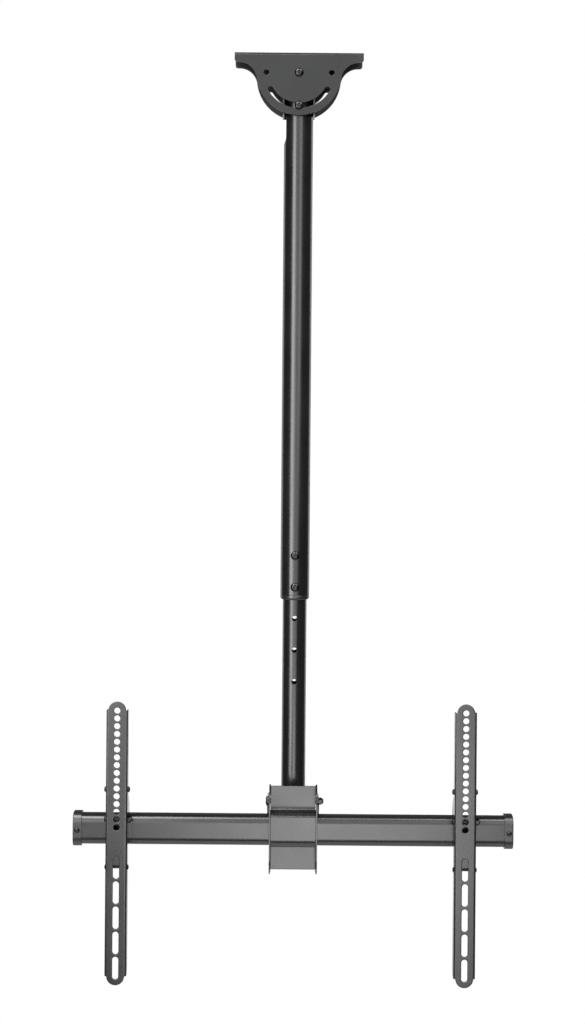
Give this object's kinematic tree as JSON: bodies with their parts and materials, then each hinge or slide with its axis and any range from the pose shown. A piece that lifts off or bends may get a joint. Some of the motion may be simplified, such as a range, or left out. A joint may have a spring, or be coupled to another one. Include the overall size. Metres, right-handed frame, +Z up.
{
  "type": "tv ceiling mount",
  "caption": "Telescopic ceiling pole with a swinging top bracket and a swivel and tilt head that carries a cross bar with slotted screen arms.",
  "frame": {"origin": "on the axis of the pole at the top face of the ceiling plate", "axes": "+Z up into the ceiling, +X to the viewer's right along the cross bar, -Y towards the screen and the viewer"},
  "size_m": [0.684, 0.1394, 1.453],
  "materials": {
    "black_powder_coat": "fine satin powder coat on folded sheet and tube",
    "blackened_steel": "black-oxide machined fasteners",
    "black_moulded_plastic": "finely textured injection moulding",
    "nylon": "plain nylon",
    "bare_steel": "zinc-plated turned steel"
  },
  "bodies": {
    "ceiling": {"ceiling_bracket": "black_powder_coat", "pivot_bolt": "blackened_steel", "pivot_nut": "blackened_steel"},
    "pole": {"pole_head": "black_powder_coat", "outer_tube": "black_powder_coat", "lock_bolt": "blackened_steel", "lock_nut": "blackened_steel", "height_bolts": "blackened_steel", "height_nuts": "blackened_steel", "tube_bushing": "black_moulded_plastic"},
    "inner_pole": {"inner_tube": "black_powder_coat", "guide_ring": "black_moulded_plastic", "swivel_plug": "bare_steel", "glide_washer": "nylon", "swivel_washer": "blackened_steel", "swivel_bolt": "blackened_steel"},
    "yoke": {"swivel_yoke": "black_powder_coat", "tilt_bolt": "blackened_steel", "tilt_nut": "blackened_steel"},
    "head": {"tilt_frame": "black_powder_coat", "tilt_spacer": "bare_steel", "clamp_plate": "black_powder_coat", "clamp_screws": "blackened_steel", "cross_bar": "black_powder_coat", "left_end_cap": "black_moulded_plastic", "right_end_cap": "black_moulded_plastic", "cap_screws": "blackened_steel"},
    "left_arm": {"left_arm_rail": "black_powder_coat", "left_hook_bracket": "black_powder_coat", "left_arm_screws": "blackened_steel", "left_arm_nuts": "blackened_steel", "left_arm_pin": "blackened_steel", "left_pinch_bolt": "blackened_steel", "left_pinch_nut": "blackened_steel"},
    "right_arm": {"right_arm_rail": "black_powder_coat", "right_hook_bracket": "black_powder_coat", "right_arm_screws": "blackened_steel", "right_arm_nuts": "blackened_steel", "right_arm_pin": "blackened_steel", "right_pinch_bolt": "blackened_steel", "right_pinch_nut": "blackened_steel"}
  },
  "joints": [
    {"name": "ceiling_swing", "type": "hinge", "parent": "ceiling", "child": "pole", "pos_m": [0, 0, -0.03174], "axis": [0, 1, 0], "range_deg": [-60, 60]},
    {"name": "height", "type": "slide", "parent": "pole", "child": "inner_pole", "axis": [0, 0, -1], "range_m": [-0.15, 0.35]},
    {"name": "swivel", "type": "hinge", "parent": "inner_pole", "child": "yoke", "pos_m": [0, 0, -1.17174], "axis": [0, 0, 1], "range_deg": [-180, 180]},
    {"name": "tilt", "type": "hinge", "parent": "yoke", "child": "head", "pos_m": [0, -0.03, -1.18124], "axis": [1, 0, 0], "range_deg": [-15, 15]},
    {"name": "left_arm_slide", "type": "slide", "parent": "head", "child": "left_arm", "axis": [1, 0, 0], "range_m": [-0.033, 0.201]},
    {"name": "right_arm_slide", "type": "slide", "parent": "head", "child": "right_arm", "axis": [1, 0, 0], "range_m": [-0.194, 0.04]}
  ]
}
